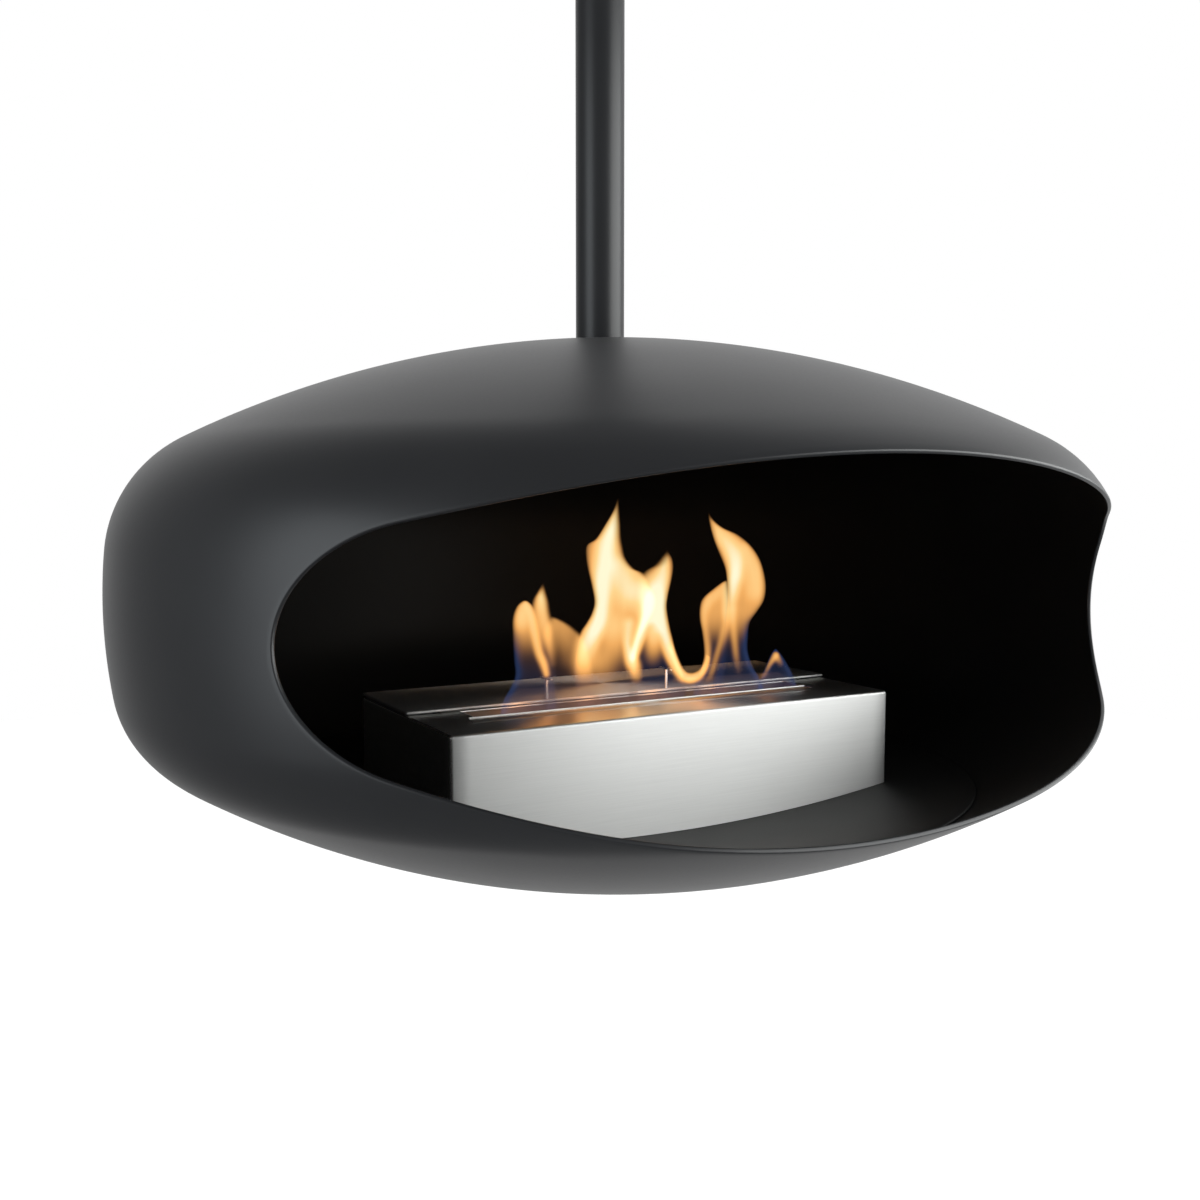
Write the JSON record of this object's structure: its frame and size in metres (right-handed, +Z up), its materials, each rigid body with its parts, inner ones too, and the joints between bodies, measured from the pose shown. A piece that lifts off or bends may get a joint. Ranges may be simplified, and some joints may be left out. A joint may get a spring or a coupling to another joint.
{
  "type": "hanging fireplace",
  "caption": "Round black steel hanging fireplace on a ceiling swivel pole, with a wide front opening and a stainless ethanol burner with a sliding lid.",
  "frame": {"origin": "centre of the ceiling plate's top face, on the pole's axis", "axes": "+Z up into the ceiling, the opening faces -Y, +X to the right seen from the front"},
  "size_m": [0.9798, 0.9374, 1.181],
  "materials": {
    "black_coat": "satin black heat-resistant coating",
    "black_inside": "matt black stove paint",
    "stainless": "fine brushed stainless steel",
    "zinc_steel": "zinc-plated steel",
    "bearing_steel": "ground bearing steel",
    "bronze": "plain bronze",
    "ceramic_fibre": "off-white ceramic fibre"
  },
  "bodies": {
    "ceiling_mount": {"ceiling_plate": "zinc_steel", "swivel_housing": "zinc_steel", "housing_screws": "zinc_steel", "guide_bush": "bronze", "bearing_lower_race": "bearing_steel"},
    "ball_set": {"bearing_balls": "bearing_steel", "bearing_cage": "bronze"},
    "hanger": {"bearing_upper_race": "bearing_steel", "swivel_stem": "zinc_steel", "tab_washer": "zinc_steel", "stem_nut": "zinc_steel", "pole": "black_coat", "pole_bolts": "zinc_steel", "pole_bolt_nuts": "zinc_steel", "pole_foot": "black_inside", "pole_end_cap": "black_inside", "body_shell": "black_coat", "crown_studs": "zinc_steel", "crown_washers": "zinc_steel", "crown_nuts": "zinc_steel", "hearth_pillars": "zinc_steel", "hearth_plate": "black_inside", "hearth_bolts": "zinc_steel", "cradle_plates": "black_inside", "cradle_rails": "black_inside", "drip_tray": "zinc_steel"},
    "ceiling_canopy": {"canopy": "black_coat", "canopy_collar": "black_coat", "canopy_screws": "zinc_steel"},
    "burner": {"burner_casing": "stainless", "fuel_tank": "stainless", "tank_studs": "zinc_steel", "tank_nuts": "zinc_steel", "wick_fibre": "ceramic_fibre", "fibre_guard": "stainless"},
    "lid": {"lid_plate": "stainless", "lid_tabs": "stainless", "lid_studs": "zinc_steel", "lid_clips": "zinc_steel"}
  },
  "joints": [
    {"name": "swivel", "type": "hinge", "parent": "ceiling_mount", "child": "hanger", "pos_m": [0, 0, -0.0315], "axis": [0, 0, 1], "continuous": true},
    {"name": "cage_turn", "type": "hinge", "parent": "ceiling_mount", "child": "ball_set", "pos_m": [0, 0, -0.0315], "axis": [0, 0, 1], "continuous": true},
    {"name": "canopy_slide", "type": "slide", "parent": "hanger", "child": "ceiling_canopy", "axis": [0, 0, -1], "range_m": [0, 0.25]},
    {"name": "burner_lift", "type": "slide", "parent": "hanger", "child": "burner", "axis": [0, 0, 1], "range_m": [0, 0.08]},
    {"name": "lid_slide", "type": "slide", "parent": "burner", "child": "lid", "axis": [0, -1, 0], "range_m": [0, 0.0485]}
  ],
  "couplings": [
    {"joint": "cage_turn", "follows": "swivel", "ratio": 0.5}
  ]
}
